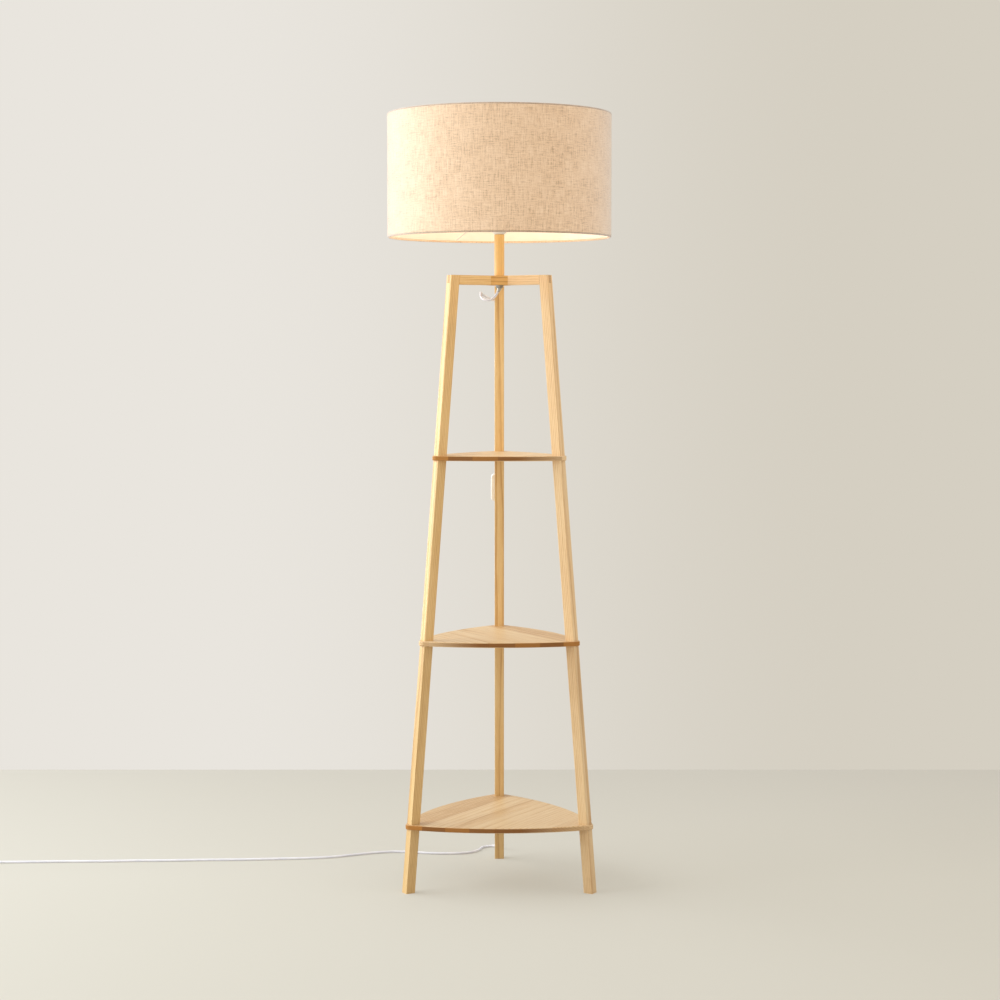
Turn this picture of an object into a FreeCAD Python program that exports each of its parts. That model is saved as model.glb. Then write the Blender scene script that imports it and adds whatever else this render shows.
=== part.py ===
import FreeCAD, Part

import math
import os

from FreeCAD import Vector

# Shelf floor lamp: three leaning square legs, three rounded triangular shelves held between the
# leg segments, a three-armed head, a short pole, a lampholder and a drum shade.
# Millimetres, +Z up, origin on the floor on the lamp's axis. The rear leg points to +Y.

# ---- driving dimensions -------------------------------------------------------------------------
foot_radius = 210.0          # leg centre line to the lamp's axis, at the floor
head_radius = 105.5          # the same, at the top of the legs
frame_height = 1233.0        # floor to the top of the legs, arms and hub
leg_width = 19.5             # square section of a leg
arm_height = 19.0
edge_round = 1.2             # eased edges of legs, arms and hub
shelf_thickness = 10.0
shelf_tops = {"lower": 138.0, "middle": 505.0, "upper": 874.0}
shade_diameter = 450.0
shade_height = 247.0
pole_diameter = 20.0
pole_length = 83.0
cord_diameter = 5.0

leg_angles = {"rear": 90.0, "left": 210.0, "right": 330.0}
segment_names = ("foot", "lower", "upper", "top")

# ---- sizes that follow --------------------------------------------------------------------------
lean = (foot_radius - head_radius) / frame_height
lean_angle = math.degrees(math.atan(lean))
leg_half = leg_width / 2.0
leg_back = leg_half / math.cos(math.radians(lean_angle))
arm_bottom = frame_height - arm_height
pole_top = frame_height + pole_length
shade_radius = shade_diameter / 2.0

tenon_width = 10.0
tenon_height = 16.0
hub_free_side = 33.5         # hub faces between the arms
hub_arm_side = leg_width     # hub faces that carry the arms
hub_arm_face = (2.0 * hub_free_side + hub_arm_side) / (2.0 * math.sqrt(3.0))
dowel_radius = 4.0
dowel_length = 26.0

shelf_corner_offset = 3.0    # corner centre outside the leg's centre line
shelf_corner_radius = 13.0
shelf_bulge = 0.735          # middle of an edge to the axis, as a share of the leg's radius
shelf_round = 2.2

stud_radius = 3.0
stud_length = 50.0
stud_clearance = 0.25
insert_radius = 5.0
insert_length = 13.0

tube_radius = 5.0            # threaded tube through hub and pole
tube_wall = 1.0
tube_below_hub = 6.4
tube_in_holder = 10.0
nut_width = 14.0
nut_height = 4.0
washer_radius = 8.0
washer_height = 1.2
relief_in_tube = 13.0        # straight part of the strain relief; the rest leans with the cord
relief_end_radius = 3.1

holder_radius = 20.0
holder_cap_height = 28.0
holder_shell_radius = 19.7
holder_shell_height = 44.0
holder_bore_radius = 14.6
flange_radius = 22.5
flange_height = 2.5
flange_bottom = 18.0         # above the joint of cap and shell
fitter_plate = 1.5
fitter_radius = 28.0
spoke_angles = (114.0, 234.0, 354.0)
spoke_start = 24.6           # clear of the retaining ring
spoke_weld = 0.4             # how deep a spoke is sunk in the fitter's plate
fitter_clearance = 0.3
thread_clearance = 0.05
ring_height = 8.0
ring_radius = 23.5

wire_radius = 1.5
hem_radius = 2.3
cover_wall = 0.8
liner_wall = 0.5

cap_top = pole_top + holder_cap_height
holder_top = cap_top + holder_shell_height
flange_top = cap_top + flange_bottom + flange_height
shade_above_pole = 240.0
shade_top = pole_top + shade_above_pole
shade_bottom = shade_top - shade_height
bulb_bottom = cap_top + 16.0

bulb_base_radius = 13.2
bulb_base_height = 26.0
bulb_radius = 30.0
bulb_height = 107.0
glass_wall = 1.0

switch_length = 66.0
switch_width = 25.0
switch_thickness = 18.0
switch_gap = 0.6             # between the switch and the rear leg
switch_level = 797.5
switch_offset = -5.0
rocker_tilt = 8.0
rocker_pivot = 5.6           # pivot out of the middle of the case's thickness
rocker_width = 10.0
rocker_reach = 10.2          # from the pivot to an end
rocker_pin_radius = 1.0
rocker_pin_length = 12.4
rocker_gap = 0.35
switch_neck = 5.0
switch_corner = 7.0
switch_rim = 2.5

plug_length = 37.0
plug_width = 35.0
plug_thickness = 16.0
plug_pin_spacing = 19.0
plug_pin_radius = 2.0
plug_pin_length = 19.0
plug_relief_length = 25.0
clip_clearance = 0.1
clip_length = 7.0
clip_arch = 4.1              # outside radius of a clip's saddle
clip_ear = 8.6               # from the cord to the far side of the nail's block
clip_ear_height = 4.4
nail_radius = 0.9
nail_length = 18.0
nail_place = 6.2             # beside the cord
nail_head_radius = 1.9
nail_head_height = 1.2

# ---- the cord's route ---------------------------------------------------------------------------
# From the strain relief under the hub, round a small loop and down the back of the rear leg to the
# switch; then on down, out over each shelf's corner, to the floor, and along the floor to the coil.
cord_rest = 2.55             # centre of a cord that lies on the floor
upper_route = [
    (-3.2, -0.4, 1201.1),
    (-7.7, -1.0, 1192.0),
    (-17.2, -3.6, 1184.8),
    (-28.9, -0.9, 1184.0),
    (-37.8, 6.7, 1190.5),
    (-36.6, 22.6, 1200.4),
    (-38.3, 46.4, 1198.8),
    (-22.9, 63.2, 1189.8),
    (-22.5, 85.5, 1189.7),
    (-17.0, 106.9, 1187.9),
    (-10.5, 126.5, 1188.7),
    (-1.0, 141.0, 1186.0),
    (4.5, 149.5, 1173.0),
    (4.5, 150.0, 1152.0),
    (1.5, 144.5, 1122.0),
    (-1.5, 138.5, 1085.0),
    (-1.5, 134.2, 1046.0),
    (-2.6, 139.0, 990.0),
    (-2.6, 147.5, 930.0),
    (-2.8, 158.6, 889.0),
    (-4.4, 157.3, 850.0),
    (-5.0, 159.0, 830.4),
]
lower_route = [
    (-5.0, 164.6, 764.6),
    (-4.4, 168.7, 716.0),
    (-2.0, 170.2, 672.0),
    (-1.5, 169.6, 630.0),
    (-2.5, 174.5, 576.0),
    (-2.2, 190.3, 521.0),
    (-2.4, 190.6, 480.0),
    (-3.2, 188.2, 428.0),
    (-2.4, 191.8, 372.0),
    (-2.0, 196.5, 318.0),
    (-3.4, 202.4, 258.0),
    (-2.8, 210.5, 202.0),
    (-3.0, 221.6, 155.0),
    (-3.0, 222.6, 113.0),
    (-1.5, 235.0, 76.0),
    (1.0, 254.0, 46.0),
    (5.0, 273.0, 25.0),
    (6.0, 291.0, 12.0),
    (0.0, 308.0, 5.0),
    (-17.5, 316.5, cord_rest),
    (-35.0, 308.0, cord_rest),
    (-41.0, 289.0, cord_rest),
    (-48.0, 266.0, cord_rest),
    (-68.0, 247.0, cord_rest),
    (-100.0, 241.0, cord_rest),
    (-140.0, 242.5, cord_rest),
    (-178.0, 251.0, cord_rest),
    (-216.0, 261.0, cord_rest),
    (-260.0, 254.0, cord_rest),
    (-306.0, 232.0, cord_rest),
    (-358.0, 205.0, cord_rest),
    (-420.0, 193.5, cord_rest),
    (-488.0, 188.0, cord_rest),
    (-556.0, 181.0, cord_rest),
    (-628.0, 179.5, cord_rest),
    (-700.0, 173.0, cord_rest),
    (-772.0, 172.0, cord_rest),
    (-845.0, 165.5, cord_rest),
    (-917.0, 165.0, cord_rest),
    (-985.0, 160.5, cord_rest),
    (-1048.0, 158.0, cord_rest),
    (-1107.0, 158.0, cord_rest),
]
clip_runs = (1046.0, 630.0, 372.0)   # each clip holds the run that starts at this level
coil_centre = (-1112.0, 125.0)
coil_outer = 33.0            # radius of the first turn
coil_pitch = 5.6             # from one turn to the next, sideways
coil_layer = 5.6             # from one layer to the next
coil_turns_in = 2.0
coil_turns_out = 1.75
arc_share = 0.49             # part of the shorter run that a bend takes up


# ---- small helpers ------------------------------------------------------------------------------
def turned(shape, angle):
    """The shape turned about the lamp's axis, from +X to the given angle."""
    copy = shape.copy()
    copy.rotate(Vector(0, 0, 0), Vector(0, 0, 1), angle)
    return copy


def fused(shapes):
    """All shapes joined into one clean solid."""
    result = shapes[0]
    for shape in shapes[1:]:
        result = result.fuse(shape)
    return result.removeSplitter()


def cut_all(shape, tools):
    """The shape with every tool cut away."""
    for tool in tools:
        shape = shape.cut(tool)
    return shape


def block(x_range, y_range, z_range):
    """A box between pairs of limits."""
    size = (x_range[1] - x_range[0], y_range[1] - y_range[0], z_range[1] - z_range[0])
    return Part.makeBox(*size, Vector(x_range[0], y_range[0], z_range[0]))


def rounded_bar(x_range, y_range, z_range, radius, axis):
    """A box whose four edges along one axis are rounded."""
    bar = block(x_range, y_range, z_range)
    along = []
    for edge in bar.Edges:
        step = edge.Vertexes[1].Point - edge.Vertexes[0].Point
        if abs(step.normalize() * axis) > 0.99:
            along.append(edge)
    return bar.makeFillet(radius, along)


def revolved(profile):
    """A closed outline of (radius, height) points turned once about the lamp's axis."""
    points = [Vector(radius, 0, height) for radius, height in profile]
    points.append(points[0])
    return Part.Face(Part.makePolygon(points)).revolve(Vector(0, 0, 0), Vector(0, 0, 1), 360)


def ring(inner, outer, bottom, top):
    """A plain round ring about the lamp's axis."""
    return revolved([(inner, bottom), (outer, bottom), (outer, top), (inner, top)])


def leg_radius(height):
    """Distance of a leg's centre line from the lamp's axis at a height."""
    return foot_radius - lean * height


def on_leg(shape, height):
    """Stand an upright shape on a leg's centre line at a height, leaning as the leg does."""
    copy = shape.copy()
    copy.rotate(Vector(0, 0, 0), Vector(0, 1, 0), -lean_angle)
    copy.translate(Vector(leg_radius(height), 0, height))
    return copy


# ---- frame --------------------------------------------------------------------------------------
def leg_blank():
    """The whole leg as one square bar in the plane of +X, before it is cut to length."""
    reach = frame_height + 2.0 * leg_width
    bar = rounded_bar((-leg_half, leg_half), (-leg_half, leg_half), (-leg_width, reach),
                      edge_round, Vector(0, 0, 1))
    return on_leg(bar, 0.0)


def level_slab(bottom, top):
    """All of the space near a leg between two levels."""
    return block((0, 2.0 * foot_radius), (-leg_width, leg_width), (bottom, top))


def segment_levels():
    """Bottom and top of each leg segment, from the foot up."""
    tops = [shelf_tops[name] for name in ("lower", "middle", "upper")]
    bottoms = [0.0] + tops
    ends = [top - shelf_thickness for top in tops] + [frame_height]
    return list(zip(segment_names, bottoms, ends))


def tenon():
    """The arm's tongue, which fills an open slot in the leg's top."""
    slot = block((0, 2.0 * head_radius), (-tenon_width / 2, tenon_width / 2),
                 (frame_height - tenon_height, frame_height))
    return slot.common(leg_blank())


def stud_at(level, radius, length):
    """An upright rod through a shelf, centred on its thickness and leaning with the leg."""
    rod = Part.makeCylinder(radius, length, Vector(0, 0, -length / 2))
    return on_leg(rod, level)


def insert_bore(level, radius, upward):
    """The hole for a threaded insert, from the middle of a shelf into the leg segment."""
    length = insert_length + shelf_thickness / 2
    start = 0.0 if upward else -length
    rod = Part.makeCylinder(radius, length, Vector(0, 0, start))
    return on_leg(rod, level)


def shelf_middles():
    """Level of the middle of each shelf's thickness."""
    return [top - shelf_thickness / 2 for top in shelf_tops.values()]


def leg_segment(bottom, top):
    """One leg segment in the plane of +X, with the holes of its studs and inserts."""
    segment = leg_blank().common(level_slab(bottom, top))
    for level in shelf_middles():
        if abs(level + shelf_thickness / 2 - bottom) < 1.0:
            segment = segment.cut(insert_bore(level, insert_radius, True))
            segment = segment.cut(stud_at(level, stud_radius, stud_length))
        if abs(level - shelf_thickness / 2 - top) < 1.0:
            segment = segment.cut(insert_bore(level, insert_radius, False))
            segment = segment.cut(stud_at(level, stud_radius, stud_length))
    if top == frame_height:
        segment = segment.cut(tenon())
    return segment


def inserts():
    """Threaded inserts in the ends of one leg's segments."""
    found = []
    for level in shelf_middles():
        for upward in (True, False):
            body = insert_bore(level, insert_radius, upward)
            body = body.cut(stud_at(level, stud_radius, stud_length))
            limits = (level + shelf_thickness / 2, level + stud_length)
            if not upward:
                limits = (level - stud_length, level - shelf_thickness / 2)
            found.append(body.common(level_slab(*limits)))
    return found


def arm():
    """One arm in the plane of +X: a bar from the hub to the leg, with its tenon."""
    bar = rounded_bar((hub_arm_face, head_radius), (-leg_half, leg_half),
                      (arm_bottom, frame_height), edge_round, Vector(1, 0, 0))
    bar = bar.cut(on_leg(block((-leg_half, leg_width), (-leg_width, leg_width),
                               (-leg_width * 3, leg_width * 3)), frame_height))
    return fused([bar, tenon()]).cut(dowel())


def dowel():
    """The round dowel between the hub and an arm."""
    start = Vector(hub_arm_face - dowel_length / 2, 0, arm_bottom + arm_height / 2)
    return Part.makeCylinder(dowel_radius, dowel_length, start, Vector(1, 0, 0))


def hub():
    """The six-sided block that carries the arms, bored for the threaded tube."""
    corners = []
    half = hub_arm_side / 2
    for angle in leg_angles.values():
        for side in (-half, half):
            corner = Vector(hub_arm_face, side, arm_bottom)
            corner = FreeCAD.Rotation(Vector(0, 0, 1), angle).multVec(corner)
            corners.append(corner)
    outline = Part.makePolygon(corners + corners[:1])
    body = Part.Face(outline).extrude(Vector(0, 0, arm_height))
    upright = [edge for edge in body.Edges if abs(edge.tangentAt(edge.FirstParameter).z) > 0.99]
    body = body.makeFillet(edge_round / 2, upright)
    body = body.cut(Part.makeCylinder(tube_radius, arm_height, Vector(0, 0, arm_bottom)))
    return cut_all(body, [turned(dowel(), angle) for angle in leg_angles.values()])


def shelf(top):
    """A triangular board: three round corners over the legs, joined by three bulging edges."""
    reach = leg_radius(top - shelf_thickness / 2)
    corner = reach + shelf_corner_offset
    middle = reach * shelf_bulge
    # The bulging edge that faces -Y has its centre on the +Y axis and touches both corners inside.
    side = middle - shelf_corner_radius
    across = corner * math.cos(math.radians(30))
    back = -corner / 2
    centre = (across ** 2 + back ** 2 - side ** 2) / (2 * (side + back))
    edge_radius = middle + centre
    joint_angle = math.atan2(back - centre, across)
    edges = []
    for turn in (0.0, 120.0, 240.0):
        spin = FreeCAD.Rotation(Vector(0, 0, 1), turn)
        points = []
        for angle in (-math.pi - joint_angle, -math.pi / 2, joint_angle):
            points.append(Vector(edge_radius * math.cos(angle),
                                 centre + edge_radius * math.sin(angle), 0))
        tip = Vector(across, back, 0)
        out = Vector(math.cos(-math.pi / 6), math.sin(-math.pi / 6), 0)
        points.append(tip + out * shelf_corner_radius)
        after = FreeCAD.Rotation(Vector(0, 0, 1), 120.0).multVec(points[0])
        points.append(after)
        points = [spin.multVec(point) for point in points]
        edges.append(Part.Arc(points[0], points[1], points[2]).toShape())
        edges.append(Part.Arc(points[2], points[3], points[4]).toShape())
    board = Part.Face(Part.Wire(edges)).extrude(Vector(0, 0, shelf_thickness))
    board.translate(Vector(0, 0, top - shelf_thickness))
    rims = [edge for edge in board.Edges if abs(edge.tangentAt(edge.FirstParameter).z) < 0.1]
    board = board.makeFillet(shelf_round, rims)
    level = top - shelf_thickness / 2
    hole = stud_at(level, stud_radius + stud_clearance, stud_length)
    return cut_all(board, [turned(hole, angle) for angle in leg_angles.values()])


# ---- pole and wiring ----------------------------------------------------------------------------
def pole():
    """The round wooden pole on the hub, bored for the threaded tube, with eased ends."""
    radius = pole_diameter / 2
    ease = 0.8
    return revolved([(tube_radius, frame_height), (radius - ease, frame_height),
                     (radius, frame_height + ease), (radius, pole_top - ease),
                     (radius - ease, pole_top), (tube_radius, pole_top)])


def threaded_tube():
    """The steel tube that clamps hub, pole and lampholder together and carries the cord."""
    bottom = arm_bottom - tube_below_hub
    top = pole_top + tube_in_holder
    return ring(tube_radius - tube_wall, tube_radius, bottom, top)


def hub_washer():
    """The flat washer between the hub and its nut."""
    return ring(tube_radius, washer_radius, arm_bottom - washer_height, arm_bottom)


def hub_nut():
    """The hexagon nut that draws the tube down, with flats to the left and right."""
    bottom = arm_bottom - washer_height - nut_height
    radius = nut_width / math.sqrt(3.0)
    corners = []
    for step in range(7):
        angle = math.radians(30 + 60 * step)
        corners.append(Vector(radius * math.cos(angle), radius * math.sin(angle), bottom))
    body = Part.Face(Part.makePolygon(corners)).extrude(Vector(0, 0, nut_height))
    return body.cut(Part.makeCylinder(tube_radius, nut_height, Vector(0, 0, bottom)))


def strain_relief():
    """The bush in the tube's end, with a tapered nose that leans the way the cord leaves."""
    tube_end = Vector(0, 0, arm_bottom - tube_below_hub)
    nose = Vector(*upper_route[0]) - tube_end
    bore = tube_radius - tube_wall
    stem = Part.makeCylinder(bore, relief_in_tube, tube_end)
    cone = Part.makeCone(bore, relief_end_radius, nose.Length, tube_end, nose)
    ball = Part.makeSphere(bore, tube_end)
    return fused([stem, ball, cone]).cut(threaded_tube()).cut(inner_lead())


def inner_lead():
    """The cord's length from the lampholder down the tube and out through the strain relief."""
    top = Vector(0, 0, pole_top + tube_in_holder + 2.0)
    bend = Vector(0, 0, arm_bottom - tube_below_hub)
    end = Vector(*upper_route[0])
    return tube_along(route_edges([top, bend, end], []), cord_diameter / 2)[0]


def route_edges(points, report):
    """Straight runs joined by tangent arcs; the radii of the arcs are added to the report."""
    points = [Vector(*point) for point in points]
    edges = []
    start = points[0]
    for before, corner, after in zip(points, points[1:], points[2:]):
        into = corner - before
        out = after - corner
        half = into.getAngle(out) / 2
        reach = arc_share * min(into.Length, out.Length)
        radius = reach / math.tan(half)
        report.append(radius)
        into.normalize()
        out.normalize()
        first = corner - into * reach
        last = corner + out * reach
        inward = (out - into).normalize()
        middle = corner + inward * (radius / math.cos(half) - radius)
        edges.append(Part.LineSegment(start, first).toShape())
        edges.append(Part.Arc(first, middle, last).toShape())
        start = last
    edges.append(Part.LineSegment(start, points[-1]).toShape())
    return edges


def tube_along(edges, radius):
    """A round solid along a smooth path."""
    path = Part.Wire(edges)
    first = edges[0]
    tangent = first.tangentAt(first.FirstParameter)
    start = first.valueAt(first.FirstParameter)
    section = Part.Wire(Part.makeCircle(radius, start, tangent))
    return path.makePipeShell([section], True, False), path.Length


def cord(points, name):
    """A free stretch of the cord; its radii, length and volume are printed."""
    radii = []
    solid, length = tube_along(route_edges(points, radii), cord_diameter / 2)
    section = math.pi * cord_diameter ** 2 / 4
    print(name, "length %.0f mm" % length, "tightest radius %.1f mm" % min(radii),
          "volume ratio %.4f" % (solid.Volume / (section * length)))
    print("  radii", " ".join("%.0f" % radius for radius in radii))
    return solid


def coil_point(turn):
    """Place on the coil after a number of turns: in along the floor, up a layer, and out again."""
    rise_end = coil_turns_in + 0.5
    if turn <= coil_turns_in:
        radius = coil_outer - coil_pitch * turn
        height = 0.0
    elif turn <= rise_end:
        share = (turn - coil_turns_in) / 0.5
        radius = coil_outer - coil_pitch * (coil_turns_in + 0.5 * share - 0.5 * share ** 2)
        height = coil_layer * (1 - math.cos(math.pi * share)) / 2
    else:
        radius = coil_outer - coil_pitch * (coil_turns_in - (turn - rise_end))
        height = coil_layer
    angle = math.pi / 2 + 2 * math.pi * turn
    return Vector(coil_centre[0] + radius * math.cos(angle),
                  coil_centre[1] + radius * math.sin(angle), cord_rest + height)


def coil_tangent(turn):
    """Direction of the coil's centre line, from its formula."""
    step = 1e-4
    return (coil_point(turn + step) - coil_point(turn - step)).normalize()


def biarc(start, start_way, end, end_way):
    """Two arcs that join two places with their directions."""
    span = end - start
    sum_way = start_way + end_way
    quad = 2 * (1 - start_way * end_way)
    linear = span * sum_way
    reach = (-linear + math.sqrt(linear ** 2 + quad * (span * span))) / quad
    joint = (start + start_way * reach + end - end_way * reach) * 0.5
    joint_way = (end - end_way * reach - start - start_way * reach).normalize()
    arcs = []
    for place, way, target in ((start, start_way, joint), (joint, joint_way, end)):
        chord = target - place
        normal = (chord - way * (chord * way)).normalize()
        radius = (chord * chord) / (2 * (chord * normal))
        centre = place + normal * radius
        middle = ((place + target) * 0.5 - centre).normalize()
        arcs.append(Part.Arc(place, centre + middle * radius, target).toShape())
    return arcs


def coil_edges():
    """The coil's centre line: straight ends one cord diameter long, and a biarc each quarter turn."""
    last_turn = coil_turns_in + 0.5 + coil_turns_out
    quarters = int(round(last_turn * 4))
    first = coil_point(0.0)
    first_way = Vector(-1, 0, 0)
    edges = [Part.LineSegment(first - first_way * cord_diameter, first).toShape()]
    place = first
    way = first_way
    for quarter in range(1, quarters + 1):
        following = coil_point(quarter / 4)
        following_way = coil_tangent(quarter / 4)
        if quarter == quarters:
            following_way = Vector(0, -1, 0)
        edges.extend(biarc(place, way, following, following_way))
        place = following
        way = following_way
    edges.append(Part.LineSegment(place, place + way * cord_diameter).toShape())
    return edges


def coil():
    """The wound length of cord beside the plug; its least gap to itself is printed."""
    edges = coil_edges()
    solid, length = tube_along(edges, cord_diameter / 2)
    samples = []
    travelled = 0.0
    for edge in edges:
        count = max(2, int(edge.Length / 2.0))
        for i in range(count):
            along = edge.Length * i / count
            samples.append((travelled + along, edge.valueAt(edge.getParameterByLength(along))))
        travelled += edge.Length
    gap = min((b[1] - a[1]).Length for i, a in enumerate(samples) for b in samples[i + 1:]
              if b[0] - a[0] > 30.0) - cord_diameter
    section = math.pi * cord_diameter ** 2 / 4
    print("cord_coil length %.0f mm" % length, "least gap to itself %.2f mm" % gap,
          "volume ratio %.4f" % (solid.Volume / (section * length)))
    return solid


# ---- plug ---------------------------------------------------------------------------------------
def coil_end():
    """Where the coil's last straight end meets the plug; the plug points to -Y."""
    return coil_point(coil_turns_in + 0.5 + coil_turns_out) + Vector(0, -cord_diameter, 0)


def plug_body():
    """A flat two-pin plug that narrows towards its pins, with a tapered sleeve on the cord."""
    end = coil_end()
    sleeve = Part.makeCone(cord_diameter / 2 + 0.6, cord_diameter / 2 + 2.2, plug_relief_length,
                           end, Vector(0, -1, 0))
    back = end.y - plug_relief_length
    front = back - plug_length
    half = plug_width / 2
    nose = half - 4.5
    shoulder = back - 4.0
    waist = front + 12.0
    outline = [(-half + 6, back), (half - 6, back), (half, shoulder - 3), (half, waist),
               (nose, front), (-nose, front), (-half, waist), (-half, shoulder - 3)]
    corners = [Vector(end.x + x, y, 0) for x, y in outline]
    body = Part.Face(Part.makePolygon(corners + corners[:1])).extrude(Vector(0, 0, plug_thickness))
    body = body.makeFillet(1.8, body.Edges)
    return fused([body, sleeve]), front


def plug_pins(front):
    """The two round pins."""
    end = coil_end()
    height = plug_thickness / 2
    pins = []
    for side in (-1, 1):
        start = Vector(end.x + side * plug_pin_spacing / 2, front + 6.0, height)
        pin = Part.makeCylinder(plug_pin_radius, plug_pin_length + 6.0, start, Vector(0, -1, 0))
        tip = [edge for edge in pin.Edges if abs(edge.CenterOfMass.y - pin.BoundBox.YMin) < 0.01]
        pins.append(pin.makeFillet(1.0, tip))
    return pins


# ---- in-line switch -----------------------------------------------------------------------------
def on_switch(shape):
    """Move a shape from the switch's own axes (X across, Y out of its face, Z along the cord)."""
    reach = leg_radius(switch_level) + leg_back + switch_gap + switch_thickness / 2
    copy = shape.copy()
    copy.rotate(Vector(0, 0, 0), Vector(1, 0, 0), lean_angle)
    copy.translate(Vector(switch_offset, reach, switch_level))
    return copy


def switch_case():
    """Outside of the switch: a rounded flat box with a short neck at each end."""
    half_width = switch_width / 2
    half_length = switch_length / 2
    middle = half_length - switch_neck
    overlap = 2.0
    case = block((-half_width, half_width), (-switch_thickness / 2, switch_thickness / 2),
                 (-middle, middle))
    across = [edge for edge in case.Edges
              if abs(edge.tangentAt(edge.FirstParameter).y) > 0.99]
    case = case.makeFillet(switch_corner, across)
    rims = [edge for edge in case.Edges if abs(edge.tangentAt(edge.FirstParameter).y) < 0.1]
    case = case.makeFillet(switch_rim, rims)
    necks = []
    for side in (-1, 1):
        start = Vector(0, 0, side * (middle - overlap))
        necks.append(Part.makeCone(5.5, 3.6, switch_neck + overlap, start, Vector(0, 0, side)))
    return fused([case] + necks)


def rocker():
    """The rocker: a shallow V on top, a pivot pin to each side."""
    high = rocker_pivot + 4.8
    dip = rocker_pivot + 3.3
    low = rocker_pivot - 0.6
    keel = rocker_pivot - 2.4
    waist = rocker_reach - 1.2
    outline = [(-rocker_reach, high), (0.0, dip), (rocker_reach, high),
               (waist, low), (0.0, keel), (-waist, low)]
    points = [Vector(-rocker_width / 2, y, z) for z, y in outline]
    body = Part.Face(Part.makePolygon(points + points[:1])).extrude(Vector(rocker_width, 0, 0))
    pin = Part.makeCylinder(rocker_pin_radius, rocker_pin_length,
                            Vector(-rocker_pin_length / 2, rocker_pivot, 0), Vector(1, 0, 0))
    body = fused([body, pin])
    body.rotate(Vector(0, rocker_pivot, 0), Vector(1, 0, 0), rocker_tilt)
    return body


def switch_halves():
    """The two halves of the case, the outer one with the rocker's window."""
    case = switch_case()
    side = rocker_width / 2 + rocker_gap
    end = rocker_reach + 1.1
    window = block((-side, side), (2.0, switch_thickness), (-end, end))
    hole_length = rocker_pin_length + 0.4
    pin_hole = Part.makeCylinder(rocker_pin_radius + thread_clearance, hole_length,
                                 Vector(-hole_length / 2, rocker_pivot, 0), Vector(1, 0, 0))
    far = 2.0 * switch_length
    inner = case.common(block((-far, far), (-far, 0), (-far, far)))
    outer = case.common(block((-far, far), (0, far), (-far, far)))
    return inner, cut_all(outer, [window, pin_hole])


# ---- cord clips ---------------------------------------------------------------------------------
def run_from(level):
    """Middle and direction of the route's run that starts at a level."""
    for route in (upper_route, lower_route):
        for start, end in zip(route, route[1:]):
            if start[2] == level:
                first = Vector(*start)
                last = Vector(*end)
                return (first + last) * 0.5, (first - last).normalize()
    raise ValueError("no run of the route starts at this level")


def on_rear_leg(shape, x, level):
    """Stand a shape made with Y out of the leg's back face and Z up the leg on that face."""
    copy = shape.copy()
    copy.rotate(Vector(0, 0, 0), Vector(1, 0, 0), lean_angle)
    copy.translate(Vector(x, leg_radius(level) + leg_back, level))
    return copy


def clip_parts(start_level):
    """A saddle over the cord with a nail block beside it, and its nail."""
    middle, way = run_from(start_level)
    level = middle.z
    stand = (middle.y - leg_radius(level) - leg_back) * math.cos(math.radians(lean_angle))
    level += stand * math.sin(math.radians(lean_angle))
    half = clip_length / 2
    arch = Part.makeCylinder(clip_arch, clip_length, Vector(0, stand, -half))
    foot = block((-clip_arch, clip_arch), (0, stand), (-half, half))
    ear = block((clip_arch - 1.0, clip_ear), (0, clip_ear_height), (-half, half))
    saddle = on_rear_leg(fused([arch, foot, ear]), middle.x, level)
    reach = 3.0 * clip_length
    hold = cord_diameter / 2 + clip_clearance
    bore = Part.makeCylinder(hold, 2 * reach, middle - way * reach, way)
    slot = on_rear_leg(block((-hold, hold), (-reach, stand), (-reach, reach)), middle.x, level)
    top = Vector(nail_place, clip_ear_height, 0)
    shank = Part.makeCylinder(nail_radius, nail_length, top, Vector(0, -1, 0))
    head = Part.makeCylinder(nail_head_radius, nail_head_height, top, Vector(0, 1, 0))
    nail = on_rear_leg(fused([shank, head]), middle.x, level)
    return cut_all(saddle, [bore, slot, nail]), nail


# ---- lampholder and bulb ------------------------------------------------------------------------
def holder_cap():
    """The flared lower shell of the lampholder, with its threaded neck."""
    wall = 2.0
    outside = [(10.2, pole_top), (12.2, pole_top + 1.6), (14.8, pole_top + 5.0),
               (17.6, pole_top + 10.5), (19.4, pole_top + 17.0), (holder_radius, pole_top + 23.0),
               (holder_radius, cap_top)]
    inside = [(holder_radius - wall, cap_top), (holder_radius - wall, pole_top + 23.0),
              (15.4, pole_top + 12.0), (tube_radius, pole_top + tube_in_holder)]
    return revolved([(tube_radius, pole_top)] + outside + inside)


def holder_shell():
    """The upper shell: a threaded barrel with the flange that the shade rests on."""
    low_flange = cap_top + flange_bottom
    return revolved([(holder_bore_radius, cap_top), (holder_radius, cap_top),
                     (holder_radius, low_flange), (flange_radius, low_flange),
                     (flange_radius, flange_top), (holder_shell_radius, flange_top),
                     (holder_shell_radius, holder_top - 1.0),
                     (holder_shell_radius - 1.0, holder_top), (holder_bore_radius, holder_top)])


def holder_core():
    """The inner block that carries the contacts."""
    return revolved([(cord_diameter / 2, cap_top - 6.0), (holder_bore_radius, cap_top - 6.0),
                     (holder_bore_radius, bulb_bottom - 3.0), (0.0, bulb_bottom - 3.0),
                     (0.0, cap_top - 5.0), (cord_diameter / 2, cap_top - 5.0)])


def screw_shell():
    """The thin metal sleeve that the bulb screws into."""
    return ring(holder_bore_radius - 0.5, holder_bore_radius, bulb_bottom - 3.0, holder_top - 3.0)


def centre_contact():
    """The sprung tongue under the bulb's tip."""
    tongue = block((-8.0, 3.0), (-2.5, 2.5), (bulb_bottom - 0.8, bulb_bottom))
    foot = block((-8.0, -7.2), (-2.5, 2.5), (bulb_bottom - 3.0, bulb_bottom))
    return fused([tongue, foot])


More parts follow.
